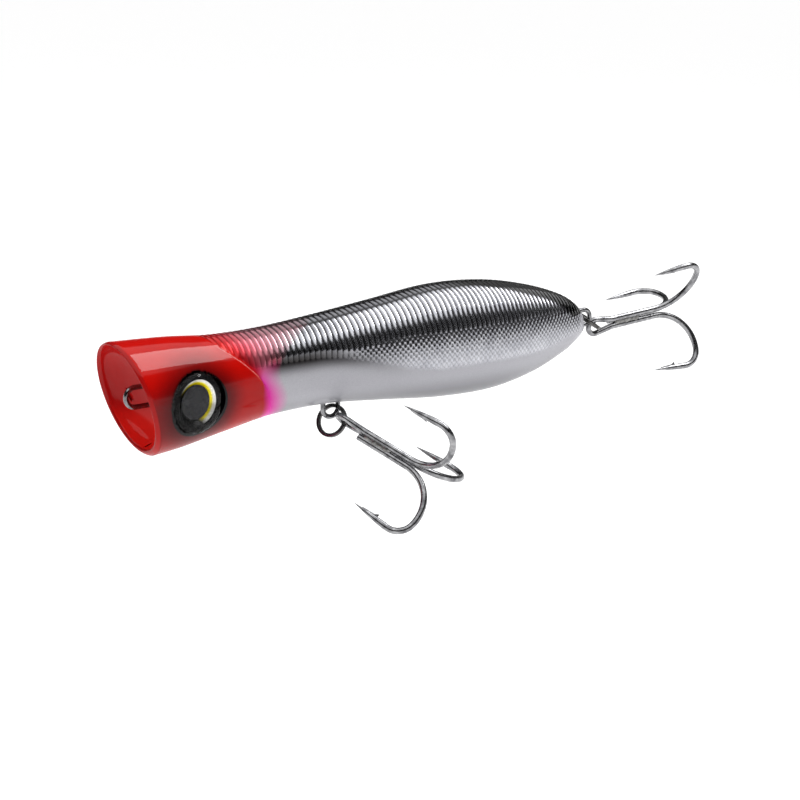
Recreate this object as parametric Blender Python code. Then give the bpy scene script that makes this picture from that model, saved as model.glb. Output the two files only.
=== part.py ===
"""A 120 mm topwater popper lure: two moulded half shells round hanger wires, eyes, casting weights and two trebles.

The frame has +X from the mouth to the tail and +Z up, and its origin is the centre of the line tie's loop.
Sizes are in millimetres and are turned into metres where a mesh is made.
"""

import math

import bmesh
import bpy
from mathutils import Matrix, Vector

MM = 0.001
TOUCH_GAP = 0.3

# Body: each station is the place along the axis, the top, the bottom and the half width.
STATIONS = (
    (-1.2, 11.9, -12.4, 11.3),
    (8.0, 11.45, -11.7, 10.4),
    (18.0, 10.6, -10.1, 9.2),
    (30.0, 10.75, -8.25, 8.3),
    (44.0, 11.9, -7.8, 8.5),
    (58.0, 13.35, -8.95, 9.6),
    (74.0, 15.0, -10.55, 10.9),
    (88.0, 14.4, -10.7, 10.8),
    (100.0, 12.1, -8.7, 8.9),
    (110.0, 8.75, -5.3, 5.9),
    (115.0, 5.6, -2.7, 3.5),
    (116.8, 2.7, -1.6, 1.8),
)
BODY_RINGS = 24
BODY_SIDES = 32
WALL = 1.5
SEAM_GAP = 0.15  # from the seam plane to each half

# Mouth: the rim lies in a plane whose top leans forward, and the cup sinks behind it.
MOUTH_TILT = math.radians(15)
TILT_FADE = 16.0
LIP_CREST = (-2.1, 11.5, -11.6, 10.85)
RIM = (-1.5, 11.1, -10.8, 10.35)
CUP_DEPTH = 6.5
CUP_RINGS = 6

# Hollows inside the body: start, end and floor height, with None where the floor follows the belly.
CHAMBERS = {
    "head_chamber": (11.5, 24.0, None),
    "neck_chamber": (37.0, 56.0, -2.0),
    "back_chamber": (59.5, 102.0, 3.2),
}
CHAMBER_RINGS = 6
CHAMBER_SIDES = 20

# Loose steel balls in their channels.
CAST_BALL_RADIUS = 4.0
CAST_CHANNEL_RADIUS = 4.35
CAST_CHANNEL = (59.5, 96.0)
CAST_CHANNEL_HEIGHT = -2.2
CAST_BALL_GAP = 0.3
RATTLE_BALL_RADIUS = 2.6
RATTLE_CHANNEL_RADIUS = 2.95
RATTLE_CHANNEL_HALF = 5.8
RATTLE_PLACE = (30.5, 1.2)

# Wires moulded into the seam: each is a long closed link, held in a groove in both halves.
WIRE_RADIUS = 0.55
GROOVE_RADIUS = WIRE_RADIUS + TOUCH_GAP
TIE_LOOP_RADIUS = 2.05
TIE_LENGTH = 8.0
BELLY_LOOP_CENTRE = Vector((46.94, 0.0, -9.29))
BELLY_LOOP_RADIUS = 1.95
BELLY_LINK_LENGTH = 4.9
TAIL_LOOP_CENTRE = Vector((118.14, 0.0, 2.04))
TAIL_LOOP_RADIUS = 1.75
TAIL_LINK_LENGTH = 9.5

# Split rings: two flat coils lying together, made here as one ring with an oval section.
RING_RADIUS = 3.3
RING_HALF_WIDE = 0.42
RING_HALF_THICK = 0.58
BELLY_RING_CENTRE = Vector((46.45, -1.19, -11.79))
BELLY_RING_NORMAL = Vector((-0.845, -0.336, 0.415)).normalized()
TAIL_RING_CENTRE = Vector((120.40, 1.34, 0.88))
TAIL_RING_NORMAL = Vector((0.493, -0.241, 0.836)).normalized()

# Treble hooks: a double hook bent from one wire round its eye, with a single hook brazed between the shanks.
HOOK_WIRE_RADIUS = 0.72
SHANK_OFFSET = 1.01
EYE_RADIUS = 1.78
EYE_CENTRE = 4.48
EYE_WIRE_RADIUS = 0.65
NECK = 9.2
SHANK_END = 21.85
BEND_RADIUS = 8.71
BEND_ANGLE = 1.74
THROAT_RADIUS = 4.05
THROAT_ANGLE = 1.49
POINT_LENGTH = 8.87
SOLDER_SPAN = (9.9, 17.5)
SOLDER_RADIUS = 1.3
BELLY_HOOK = {
    "start": Vector((45.71, -0.34, -9.92)),
    "turns": (math.radians(-62.24), math.radians(-23.58), math.radians(-130.94)),
    "double": (1, 2),
    "single": 0,
}
TAIL_HOOK = {
    "start": Vector((117.60, 1.51, -1.22)),
    "turns": (math.radians(-6.85), math.radians(5.92), math.radians(125.35)),
    "double": (0, 2),
    "single": 1,
}

# Eyes: a clear dome over a dished foil disc and a dark pupil, set in a round socket in each side of the head.
EYE_PLACE = (9.0, -0.6)
EYE_TURN = math.radians(10)  # the flare of the head turns each eye a little to the back
SOCKET_FLOOR = 8.2
SOCKET_RADIUS = 6.3
DOME_RADIUS = SOCKET_RADIUS - 0.12
DOME_HEIGHT = 3.0
DOME_EDGE = 1.25
FOIL_THICK = 0.2
DISH_RADIUS = 3.75
DISH_RIM_RADIUS = 4.75
DISH_RISE = 0.85
PUPIL_THICK = 0.22
LENS_GAP = 0.06

FINISHES = {
    "foil_body": ((0.72, 0.73, 0.75, 1.0), 0.22, 0.85),
    "stainless_wire": ((0.55, 0.54, 0.52, 1.0), 0.25, 1.0),
    "nickel_ring": ((0.30, 0.29, 0.28, 1.0), 0.28, 1.0),
    "tinned_hook": ((0.60, 0.58, 0.55, 1.0), 0.22, 1.0),
    "solder": ((0.66, 0.65, 0.63, 1.0), 0.40, 1.0),
    "eye_foil": ((0.80, 0.66, 0.08, 1.0), 0.25, 0.6),
    "eye_pupil": ((0.02, 0.02, 0.022, 1.0), 0.15, 0.0),
    "eye_dome": ((0.90, 0.92, 0.93, 0.35), 0.05, 0.0),
    "ball_steel": ((0.62, 0.62, 0.63, 1.0), 0.15, 1.0),
}


def clear_scene():
    for old in list(bpy.data.objects):
        bpy.data.objects.remove(old, do_unlink=True)


def material(name):
    found = bpy.data.materials.get(name)
    if found:
        return found
    colour, roughness, metallic = FINISHES[name]
    made = bpy.data.materials.new(name)
    made.use_nodes = True
    shader = made.node_tree.nodes["Principled BSDF"]
    shader.inputs["Base Color"].default_value = colour
    shader.inputs["Roughness"].default_value = roughness
    shader.inputs["Metallic"].default_value = metallic
    shader.inputs["Alpha"].default_value = colour[3]
    return made


def object_from(name, points, faces, finish=None, pivot=None, smooth=True):
    """A mesh object of points in millimetres; a pivot is an empty that it turns about."""
    bm = bmesh.new()
    base = pivot.matrix_world.translation if pivot else Vector()
    verts = [bm.verts.new(Vector(p) * MM - base) for p in points]
    for face in faces:
        bm.faces.new([verts[i] for i in face])
    bmesh.ops.recalc_face_normals(bm, faces=bm.faces)
    mesh = bpy.data.meshes.new(name)
    bm.to_mesh(mesh)
    bm.free()
    if smooth:
        mesh.shade_smooth()
        mesh.set_sharp_from_angle(angle=math.radians(40))
    made = bpy.data.objects.new(name, mesh)
    bpy.context.scene.collection.objects.link(made)
    if finish:
        mesh.materials.append(material(finish))
    if pivot:
        made.parent = pivot
    return made


def pivot_empty(name, place, parent=None):
    """An empty on a joint's axis, at a place in millimetres."""
    made = bpy.data.objects.new(name, None)
    bpy.context.scene.collection.objects.link(made)
    made.empty_display_size = 0.003
    made.parent = parent
    made.location = Vector(place) * MM - (parent.matrix_world.translation if parent else Vector())
    bpy.context.view_layer.update()
    return made


def strip_faces(rings, sides, closed):
    """Quads between rings of points, each with the same number of sides."""
    faces = []
    for ring in range(rings if closed else rings - 1):
        following = (ring + 1) % rings
        for side in range(sides):
            after = (side + 1) % sides
            near, far = ring * sides, following * sides
            faces.append((near + side, near + after, far + after, far + side))
    return faces


def capped(rings, start=None, end=None):
    """Points and faces of a closed skin over rings, with a pole point at each end."""
    sides = len(rings[0])
    points = [point for ring in rings for point in ring]
    faces = strip_faces(len(rings), sides, False)
    first = start or sum((Vector(p) for p in rings[0]), Vector()) / sides
    last = end or sum((Vector(p) for p in rings[-1]), Vector()) / sides
    points += [first, last]
    offset = (len(rings) - 1) * sides
    for side in range(sides):
        after = (side + 1) % sides
        faces.append((after, side, len(points) - 2))
        faces.append((offset + side, offset + after, len(points) - 1))
    return points, faces


def tube(path, radii, sides=8, closed=False):
    """A round wire along a path, its frame carried along so that it doesn't twist."""
    path = [Vector(p) for p in path]
    count = len(path)
    tangents = []
    for index in range(count):
        before = path[index - 1] if closed or index else path[index]
        after = path[(index + 1) % count] if closed or index < count - 1 else path[index]
        tangents.append((after - before).normalized())
    across = tangents[0].orthogonal().normalized()
    rings = []
    for index in range(count):
        across = (across - tangents[index] * across.dot(tangents[index])).normalized()
        over = tangents[index].cross(across)
        ring = []
        for side in range(sides):
            angle = math.tau * side / sides
            ring.append(path[index] + radii[index] * (math.cos(angle) * across + math.sin(angle) * over))
        rings.append(ring)
    if closed:
        points = [point for ring in rings for point in ring]
        return points, strip_faces(count, sides, True)
    return capped(rings)


def lathe(profile, centre, outward, sides=24):
    """A turned piece: profile pairs are radius and height, and its first and last radius are zero."""
    turn = Vector((0, 0, 1)).rotation_difference(outward).to_matrix()
    rings = []
    for radius, height in profile[1:-1]:
        ring = []
        for side in range(sides):
            angle = math.tau * side / sides
            ring.append(centre + turn @ Vector((radius * math.cos(angle), radius * math.sin(angle), height)))
        rings.append(ring)
    start = centre + turn @ Vector((0, 0, profile[0][1]))
    end = centre + turn @ Vector((0, 0, profile[-1][1]))
    return capped(rings, start, end)


def body_size(place):
    """Top, bottom and half width at a place along the body, on smooth curves through the stations."""
    last = len(STATIONS) - 1
    index = 0
    while index < last - 1 and place > STATIONS[index + 1][0]:
        index += 1
    near, far = STATIONS[index], STATIONS[index + 1]
    before, after = STATIONS[max(index - 1, 0)], STATIONS[min(index + 2, last)]
    span = far[0] - near[0]
    t = min(max((place - near[0]) / span, 0.0), 1.0)
    values = []
    for k in (1, 2, 3):
        leaving = (far[k] - before[k]) / (far[0] - before[0]) * span
        arriving = (after[k] - near[k]) / (after[0] - near[0]) * span
        value = (2 * t**3 - 3 * t**2 + 1) * near[k] + (t**3 - 2 * t**2 + t) * leaving
        values.append(value + (3 * t**2 - 2 * t**3) * far[k] + (t**3 - t**2) * arriving)
    return values


def tilt_at(place):
    """How far a section leans, from the full mouth tilt at the lip to upright behind the head."""
    fade = min(max(1 - (place - STATIONS[0][0]) / TILT_FADE, 0.0), 1.0)
    return math.tan(MOUTH_TILT) * fade**2


def oval(place, top, bottom, half, lean, sides=BODY_SIDES):
    """One oval section of the body, leaning by its height."""
    ring = []
    for side in range(sides):
        angle = math.tau * side / sides
        height = (top + bottom) / 2 + (top - bottom) / 2 * math.sin(angle)
        ring.append(Vector((place - lean * height, half * math.cos(angle), height)))
    return ring


def body_solid():
    """The whole outer shape, from the bottom of the mouth's cup over the lip to the tail."""
    lean = math.tan(MOUTH_TILT)
    rings = []
    for index in range(1, CUP_RINGS + 1):
        spread = math.sin(index / CUP_RINGS * math.pi / 2)
        sink = CUP_DEPTH * math.sqrt(max(1 - spread**2, 0.0))
        rings.append(oval(RIM[0] + sink, RIM[1] * spread, RIM[2] * spread, RIM[3] * spread, lean))
    rings.append(oval(*LIP_CREST, lean))
    start, end = STATIONS[0][0], STATIONS[-1][0]
    for index in range(BODY_RINGS):
        share = index / (BODY_RINGS - 1)
        place = start + (end - start) * (1 - (1 - share) ** 1.25)  # rings close up towards the tail
        rings.append(oval(place, *body_size(place), tilt_at(place)))
    return capped(rings, Vector((RIM[0] + CUP_DEPTH, 0, 0)))


def cutter(name, points, faces):
    made = object_from(name, points, faces, smooth=False)
    made.hide_render = True
    made.display_type = "WIRE"
    return made


def chamber_cutter(name):
    start, end, floor = CHAMBERS[name]
    rings = []
    for index in range(CHAMBER_RINGS):
        place = start + (end - start) * index / (CHAMBER_RINGS - 1)
        top, bottom, half = body_size(place)
        middle, tall = (top + bottom) / 2, (top - bottom) / 2
        if floor is None:
            low, wide = bottom + WALL, half - WALL
        else:
            low = floor
            lift = ((top - WALL + floor) / 2 - middle) / tall
            wide = half * math.sqrt(1 - lift**2) - 1.2 * WALL
        rings.append(oval(place, top - WALL, low, wide, 0, CHAMBER_SIDES))
    return cutter(name, *capped(rings))


def rod_cutter(name, start, end, radius, sides=20):
    path = [Vector(start), Vector(end)]
    return cutter(name, *tube(path, [radius, radius], sides))


def link_path(loop_centre, loop_radius, length, along, across):
    """A long closed link: an arc round the loop's centre, two straight sides and a closing arc."""
    steps = 10
    path = []
    for index in range(steps + 1):
        angle = math.pi * (index / steps - 0.5)
        path.append(loop_centre + loop_radius * (math.cos(angle) * along + math.sin(angle) * across))
    for index in range(steps + 1):
        angle = math.pi * (index / steps + 0.5)
        place = loop_centre - along * length
        path.append(place + loop_radius * (math.cos(angle) * along + math.sin(angle) * across))
    return path


def wire_links():
    """Each hanger wire's path in the seam plane."""
    up, ahead = Vector((0, 0, 1)), Vector((-1, 0, 0))
    return {
        "line_tie_wire": link_path(Vector(), TIE_LOOP_RADIUS, TIE_LENGTH, ahead, up),
        "belly_hanger_wire": link_path(BELLY_LOOP_CENTRE, BELLY_LOOP_RADIUS, BELLY_LINK_LENGTH, -up, ahead),
        "tail_hanger_wire": link_path(TAIL_LOOP_CENTRE, TAIL_LOOP_RADIUS, TAIL_LINK_LENGTH, -ahead, up),
    }


def half_box(name, side):
    """A block that takes away everything past one half's seam face."""
    near, far = side * SEAM_GAP, -side * 40.0
    low, high = min(near, far), max(near, far)
    points = [(x, y, z) for x in (-20, 140) for y in (low, high) for z in (-40, 40)]
    faces = [(0, 1, 3, 2), (4, 6, 7, 5), (0, 4, 5, 1), (2, 3, 7, 6), (0, 2, 6, 4), (1, 5, 7, 3)]
    return cutter(name, points, faces)


def eye_outward(side):
    return Vector((math.sin(EYE_TURN), side * math.cos(EYE_TURN), 0))


def socket_middle(side, lift=0.0):
    """The middle of an eye socket's floor, or a point above it."""
    return Vector((EYE_PLACE[0], side * SOCKET_FLOOR, EYE_PLACE[1])) + eye_outward(side) * lift


def make_shells():
    points, faces = body_solid()
    shared = [chamber_cutter(name) for name in CHAMBERS]
    channel_start = Vector((CAST_CHANNEL[0], 0, CAST_CHANNEL_HEIGHT))
    channel_end = Vector((CAST_CHANNEL[1], 0, CAST_CHANNEL_HEIGHT))
    shared.append(rod_cutter("cast_channel", channel_start, channel_end, CAST_CHANNEL_RADIUS))
    rattle_x, rattle_z = RATTLE_PLACE
    rattle_near = Vector((rattle_x, -RATTLE_CHANNEL_HALF, rattle_z))
    rattle_far = Vector((rattle_x, RATTLE_CHANNEL_HALF, rattle_z))
    shared.append(rod_cutter("rattle_channel", rattle_near, rattle_far, RATTLE_CHANNEL_RADIUS))
    for name, path in wire_links().items():
        shared.append(cutter(name + "_groove", *tube(path, [GROOVE_RADIUS] * len(path), 10, True)))
    for side, word in ((-1, "left"), (1, "right")):
        socket = rod_cutter(word + "_socket", socket_middle(side), socket_middle(side, 8.0), SOCKET_RADIUS, 32)
        shell = object_from(word + "_body_shell", points, faces, "foil_body")
        for tool in [half_box(word + "_cut_plane", side), *shared, socket]:
            cut = shell.modifiers.new(tool.name, "BOOLEAN")
            cut.operation = "DIFFERENCE"
            cut.solver = "EXACT"
            cut.object = tool


def make_wires():
    for name, path in wire_links().items():
        object_from(name, *tube(path, [WIRE_RADIUS] * len(path), 8, True), "stainless_wire")


def make_eyes():
    for side, word in ((-1, "left"), (1, "right")):
        centre = socket_middle(side, LENS_GAP)
        outward = eye_outward(side)
        rim_height = FOIL_THICK + DISH_RISE
        foil = (
            (0, 0),
            (DISH_RADIUS, 0),
            (DISH_RIM_RADIUS, DISH_RISE),
            (DOME_RADIUS, DISH_RISE),
            (DOME_RADIUS, rim_height),
            (DISH_RIM_RADIUS, rim_height),
            (DISH_RADIUS, FOIL_THICK),
            (0, FOIL_THICK),
        )
        object_from(word + "_eye_foil", *lathe(foil, centre, outward), "eye_foil")
        low = FOIL_THICK + LENS_GAP
        pupil_radius = DISH_RADIUS - 2 * LENS_GAP
        pupil = ((0, low), (pupil_radius, low), (pupil_radius, low + PUPIL_THICK), (0, low + PUPIL_THICK))
        object_from(word + "_eye_pupil", *lathe(pupil, centre, outward), "eye_pupil")
        under = low + PUPIL_THICK + LENS_GAP
        dome = [(0, under), (DISH_RADIUS, under), (DISH_RIM_RADIUS, rim_height + LENS_GAP)]
        dome += [(DOME_RADIUS, rim_height + LENS_GAP), (DOME_RADIUS, rim_height + LENS_GAP + 0.25)]
        steps = 6
        for index in range(1, steps + 1):
            angle = index / steps * math.pi / 2
            height = DOME_EDGE + (DOME_HEIGHT - DOME_EDGE) * math.sin(angle)
            dome.append((DOME_RADIUS * math.cos(angle) if index < steps else 0, max(height, rim_height + 0.35)))
        object_from(word + "_eye_dome", *lathe(dome, centre, outward), "eye_dome")


def ball(name, place, radius, pivot):
    steps = 10
    profile = [(0, -radius)]
    for index in range(1, steps):
        angle = math.pi * (index / steps - 0.5)
        profile.append((radius * math.cos(angle), radius * math.sin(angle)))
    profile.append((0, radius))
    object_from(name, *lathe(profile, Vector(place), Vector((1, 0, 0)), 18), "ball_steel", pivot)


def make_balls():
    first = CAST_CHANNEL[0] + TOUCH_GAP + CAST_BALL_RADIUS
    pitch = 2 * CAST_BALL_RADIUS + CAST_BALL_GAP
    slide = pivot_empty("casting_weight_slide", (first, 0, CAST_CHANNEL_HEIGHT))
    for index in range(2):
        place = (first + index * pitch, 0, CAST_CHANNEL_HEIGHT)
        ball(f"casting_ball_{index + 1}", place, CAST_BALL_RADIUS, slide)
    place = (RATTLE_PLACE[0], 0, RATTLE_PLACE[1])
    ball("rattle_ball", place, RATTLE_BALL_RADIUS, pivot_empty("rattle_slide", place))


def split_ring(name, centre, normal, pivot):
    across = normal.orthogonal().normalized()
    over = normal.cross(across)
    turns, sides = 32, 8
    points = []
    for turn in range(turns):
        angle = math.tau * turn / turns
        radial = math.cos(angle) * across + math.sin(angle) * over
        for side in range(sides):
            round_angle = math.tau * side / sides
            reach = RING_RADIUS + RING_HALF_WIDE * math.cos(round_angle)
            points.append(centre + radial * reach + normal * RING_HALF_THICK * math.sin(round_angle))
    object_from(name, points, strip_faces(turns, sides, True), "nickel_ring", pivot)


def treble_frame(hook):
    """The shank's direction and the three directions in which the hooks bend out."""
    yaw, pitch, roll = hook["turns"]
    along = Vector((math.cos(pitch) * math.cos(yaw), math.cos(pitch) * math.sin(yaw), math.sin(pitch)))
    level = Vector((0, 0, 1)).cross(along).normalized()
    upright = along.cross(level)
    ways = []
    for index in range(3):
        angle = roll - index * math.tau / 3
        ways.append(math.cos(angle) * level + math.sin(angle) * upright)
    return along, ways


def hook_outline(start):
    """A hook in its own plane, as distance along the shank, distance out from its axis, and wire radius."""
    outline = [(start, SHANK_OFFSET, HOOK_WIRE_RADIUS), (SHANK_END, SHANK_OFFSET, HOOK_WIRE_RADIUS)]
    along, out, heading = SHANK_END, SHANK_OFFSET, 0.0
    for radius, angle, steps in ((BEND_RADIUS, BEND_ANGLE, 8), (THROAT_RADIUS, THROAT_ANGLE, 7)):
        for _ in range(steps):
            chord = 2 * radius * math.sin(angle / steps / 2)
            middle = heading + angle / steps / 2
            along += chord * math.cos(middle)
            out += chord * math.sin(middle)
            heading += angle / steps
            outline.append((along, out, HOOK_WIRE_RADIUS))
    ahead = (math.cos(heading), math.sin(heading))
    for share, radius in ((0.35, 0.7), (0.6, 0.56), (0.85, 0.3), (1.0, 0.08)):
        reach = share * POINT_LENGTH
        outline.append((along + reach * ahead[0], out + reach * ahead[1], radius))
    return outline


def hook_eye(half_neck):
    """The eye between the two shanks, as distance along the shank and distance to the side."""
    reach = math.hypot(NECK - EYE_CENTRE, half_neck)
    start = math.atan2(half_neck, NECK - EYE_CENTRE) + math.acos(EYE_RADIUS / reach)
    steps = 18
    eye = []
    for index in range(steps + 1):
        angle = start + (math.tau - 2 * start) * index / steps
        eye.append((EYE_CENTRE + EYE_RADIUS * math.cos(angle), EYE_RADIUS * math.sin(angle)))
    return eye


def make_treble(word, hook, pivot):
    along, ways = treble_frame(hook)
    start = hook["start"]
    first, second = (ways[index] for index in hook["double"])
    sideways = (first - second).normalized()
    middle = (first + second).normalized() * SHANK_OFFSET / 2
    path, radii = [], []
    for way, turn_back in ((first, True), (second, False)):
        outline = hook_outline(NECK)
        side = [(start + along * u + way * out, radius) for u, out, radius in outline]
        if turn_back:
            path += [point for point, _ in reversed(side)]
            radii += [radius for _, radius in reversed(side)]
            for u, out in hook_eye(SHANK_OFFSET * math.sin(math.pi / 3)):
                path.append(start + along * u + sideways * out + middle)
                radii.append(EYE_WIRE_RADIUS)
        else:
            path += [point for point, _ in side]
            radii += [radius for _, radius in side]
    object_from(word + "_double_hook", *tube(path, radii), "tinned_hook", pivot)
    single = ways[hook["single"]]
    outline = hook_outline(NECK)
    path = [start + along * u + single * out for u, out, _ in outline]
    object_from(word + "_single_hook", *tube(path, [radius for _, _, radius in outline]), "tinned_hook", pivot)
    low, high = (start + along * u for u in SOLDER_SPAN)
    solder = object_from(word + "_hook_solder", *tube([low, high], [SOLDER_RADIUS] * 2, 24), "solder", pivot)
    for index, way in enumerate(ways):
        reach = [start + along * (u + shift) + way * SHANK_OFFSET for u, shift in zip(SOLDER_SPAN, (-1, 1))]
        groove = rod_cutter(f"{word}_solder_groove_{index}", reach[0], reach[1], HOOK_WIRE_RADIUS + 0.04, 12)
        cut = solder.modifiers.new(groove.name, "BOOLEAN")
        cut.operation = "DIFFERENCE"
        cut.solver = "EXACT"
        cut.object = groove


def ring_point(centre, normal, hook):
    """The point on a split ring's middle line that lies in the hook's eye."""
    along, ways = treble_frame(hook)
    first, second = (ways[index] for index in hook["double"])
    eye_middle = hook["start"] + along * EYE_CENTRE + (first + second).normalized() * SHANK_OFFSET / 2
    outward = eye_middle - centre
    outward -= normal * outward.dot(normal)
    return centre + outward.normalized() * RING_RADIUS


def make_hook_set(word, loop_centre, ring_centre, ring_normal, hook):
    """A split ring that swings in its hanger's loop, and a treble that swings on the ring."""
    ring_turns = pivot_empty(word + "_ring_swing", loop_centre)
    hook_turns = pivot_empty(word + "_hook_swing", ring_point(ring_centre, ring_normal, hook), ring_turns)
    split_ring(word + "_split_ring", ring_centre, ring_normal, ring_turns)
    make_treble(word, hook, hook_turns)


def main():
    clear_scene()
    make_shells()
    make_wires()
    make_eyes()
    make_balls()
    make_hook_set("belly", BELLY_LOOP_CENTRE, BELLY_RING_CENTRE, BELLY_RING_NORMAL, BELLY_HOOK)
    make_hook_set("tail", TAIL_LOOP_CENTRE, TAIL_RING_CENTRE, TAIL_RING_NORMAL, TAIL_HOOK)


main()
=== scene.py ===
import math

import bmesh
import bpy
import numpy as np
from mathutils import Matrix, Vector


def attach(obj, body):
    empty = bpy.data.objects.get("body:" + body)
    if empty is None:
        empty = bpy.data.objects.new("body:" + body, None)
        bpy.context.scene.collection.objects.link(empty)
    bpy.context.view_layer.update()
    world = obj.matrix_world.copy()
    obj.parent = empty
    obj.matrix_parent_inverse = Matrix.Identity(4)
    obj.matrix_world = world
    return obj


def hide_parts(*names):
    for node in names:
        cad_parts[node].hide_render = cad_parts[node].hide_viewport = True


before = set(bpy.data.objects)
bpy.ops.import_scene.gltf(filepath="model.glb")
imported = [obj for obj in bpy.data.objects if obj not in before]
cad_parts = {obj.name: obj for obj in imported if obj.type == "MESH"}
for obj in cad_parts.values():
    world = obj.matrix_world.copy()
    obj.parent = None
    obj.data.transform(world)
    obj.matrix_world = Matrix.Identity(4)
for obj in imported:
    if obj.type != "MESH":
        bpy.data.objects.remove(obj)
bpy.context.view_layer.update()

mm = 0.001
print("frame loaded:", len(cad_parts), "nodes")


def linear(hexColour):  # sRGB hex to the linear colour that shaders take
    values = [int(hexColour[i:i + 2], 16) / 255 for i in (1, 3, 5)]
    return tuple(v / 12.92 if v <= 0.04045 else ((v + 0.055) / 1.055) ** 2.4 for v in values) + (1.0,)


def fillSockets(tree, node, links):  # links: socket name or number, to a value or another socket
    for key, value in links.items():
        if isinstance(value, bpy.types.NodeSocket):
            tree.links.new(value, node.inputs[key])
        else:
            node.inputs[key].default_value = value


def addNode(tree, kind, links=None, **settings):
    node = tree.nodes.new(kind)
    for key, value in settings.items():
        setattr(node, key, value)
    fillSockets(tree, node, links or {})
    return node


def newMaterial(name):
    material = bpy.data.materials.new(name)
    material.use_nodes = True
    return material, material.node_tree, material.node_tree.nodes["Principled BSDF"]


def addObject(name, data):
    made = bpy.data.objects.new(name, data)
    bpy.context.scene.collection.objects.link(made)
    return made


def fillRamp(node, stops):  # stops: place and colour
    elements = node.color_ramp.elements
    for index, (place, colour) in enumerate(stops):
        stop = elements[index] if index < 2 else elements.new(place)
        stop.position = place
        stop.color = colour


def smoothStep(low, high, value):
    t = np.clip((value - low) / (high - low), 0.0, 1.0)
    return t * t * (3 - 2 * t)


cameraSettings = {"back": (-0.5553, -0.7930, 0.2504), "place": (-0.17326, -0.34072, 0.09731), "lens": 87.09}
floorSettings = {"height": -0.115, "half": 14.0, "glow": 0.25}


def makeCamera():
    back = Vector(cameraSettings["back"]).normalized()
    right = Vector((0, 0, 1)).cross(back).normalized()
    up = back.cross(right)
    data = bpy.data.cameras.new("studioCamera")
    data.lens = cameraSettings["lens"]
    data.sensor_width = 36
    data.clip_start = 0.01
    camera = addObject("studioCamera", data)
    turn = Matrix((right, up, back)).transposed().to_4x4()
    camera.matrix_world = Matrix.Translation(cameraSettings["place"]) @ turn
    bpy.context.scene.camera = camera


def makeFloor():
    half, height = floorSettings["half"], floorSettings["height"]
    mesh = bpy.data.meshes.new("paleFloor")
    corners = [(-half, -half, height), (half, -half, height), (half, half, height), (-half, half, height)]
    mesh.from_pydata(corners, [], [(0, 1, 2, 3)])
    floor = addObject("paleFloor", mesh)
    # seamless white paper: matt and even
    paper, tree, shader = newMaterial("seamlessPaper")
    fillSockets(tree, shader, {"Base Color": linear("#f7f7f7"), "Roughness": 0.9, "Specular IOR Level": 0.1,
                               "Emission Color": (1, 1, 1, 1), "Emission Strength": floorSettings["glow"]})
    mesh.materials.append(paper)


studio = {
    # grey of the room by height: 0 is straight down, 0.5 level, 1 straight up
    "room": ((0.0, 0.75), (0.495, 0.74), (0.5, 1.0), (0.52, 1.0), (0.54, 0.30), (0.575, 0.08), (0.70, 0.03),
             (0.825, 0.02), (0.845, 1.45), (1.0, 1.45)),
    "middle": (0.055, 0, 0),  # the lamps stand round this place
    "darkCorner": (-0.5553, -0.7930, 0.10), "cornerNear": 0.93, "cornerFar": 0.72, "cornerGrey": 0.06,
    "softboxes": (  # name, direction, way of its long side, distance, width, height, watts
        ("keySoftbox", (0.57, -0.08, 0.82), (0.13, -0.97, -0.18), 0.9, 0.62, 0.26, 4.4),
    ),
}


def makeStudioLight():
    # white below, a dark gap at the tops of the walls, a bright ceiling and a dark corner on one side
    world = bpy.data.worlds.new("studio")
    bpy.context.scene.world = world
    world.use_nodes = True
    tree = world.node_tree
    tree.nodes.clear()
    coords = addNode(tree, "ShaderNodeTexCoord")
    split = addNode(tree, "ShaderNodeSeparateXYZ", {0: coords.outputs["Generated"]})
    lift = addNode(tree, "ShaderNodeMath", {0: split.outputs["Z"], 1: 0.5, 2: 0.5}, operation="MULTIPLY_ADD")
    curve = addNode(tree, "ShaderNodeValToRGB", {0: lift.outputs[0]})
    brightest = max(grey for _, grey in studio["room"])
    fillRamp(curve, [(place, (grey / brightest,) * 3 + (1,)) for place, grey in studio["room"]])
    towards = addNode(tree, "ShaderNodeVectorMath", {
        0: coords.outputs["Generated"], 1: tuple(Vector(studio["darkCorner"]).normalized())},
        operation="DOT_PRODUCT")
    shade = addNode(tree, "ShaderNodeMapRange", {
        "Value": towards.outputs["Value"], "From Min": studio["cornerFar"],
        "From Max": studio["cornerNear"], "To Min": 1.0, "To Max": studio["cornerGrey"]})
    strength = addNode(tree, "ShaderNodeMath", {0: shade.outputs[0], 1: brightest}, operation="MULTIPLY")
    glow = addNode(tree, "ShaderNodeBackground", {"Color": curve.outputs[0], "Strength": strength.outputs[0]})
    out = addNode(tree, "ShaderNodeOutputWorld")
    tree.links.new(glow.outputs[0], out.inputs["Surface"])
    for name, direction, longSide, distance, width, height, watts in studio["softboxes"]:
        lamp = bpy.data.lights.new(name, "AREA")
        lamp.shape = "RECTANGLE"
        lamp.size = width
        lamp.size_y = height
        lamp.energy = watts
        box = addObject(name, lamp)
        way = Vector(direction).normalized()
        place = Matrix.Translation(Vector(studio["middle"]) + way * distance)
        tall = way.cross(Vector(longSide)).normalized()
        box.matrix_world = place @ Matrix((tall.cross(way), tall, way)).transposed().to_4x4()


makeCamera()
makeFloor()
makeStudioLight()
bpy.context.scene.view_settings.view_transform = "Standard"
print("studio ready")


def mixColour(tree, amount, first, second, way="MIX"):
    node = addNode(tree, "ShaderNodeMix", {0: amount, 6: first, 7: second}, data_type="RGBA", blend_type=way)
    return node.outputs[2]


def objectNoise(tree, grainMm, detail=3.0, rough=0.55):
    coords = addNode(tree, "ShaderNodeTexCoord")
    noise = addNode(tree, "ShaderNodeTexNoise", {
        "Vector": coords.outputs["Object"], "Scale": 1 / (grainMm * mm), "Detail": detail,
        "Roughness": rough})
    return noise.outputs["Fac"]


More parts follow.
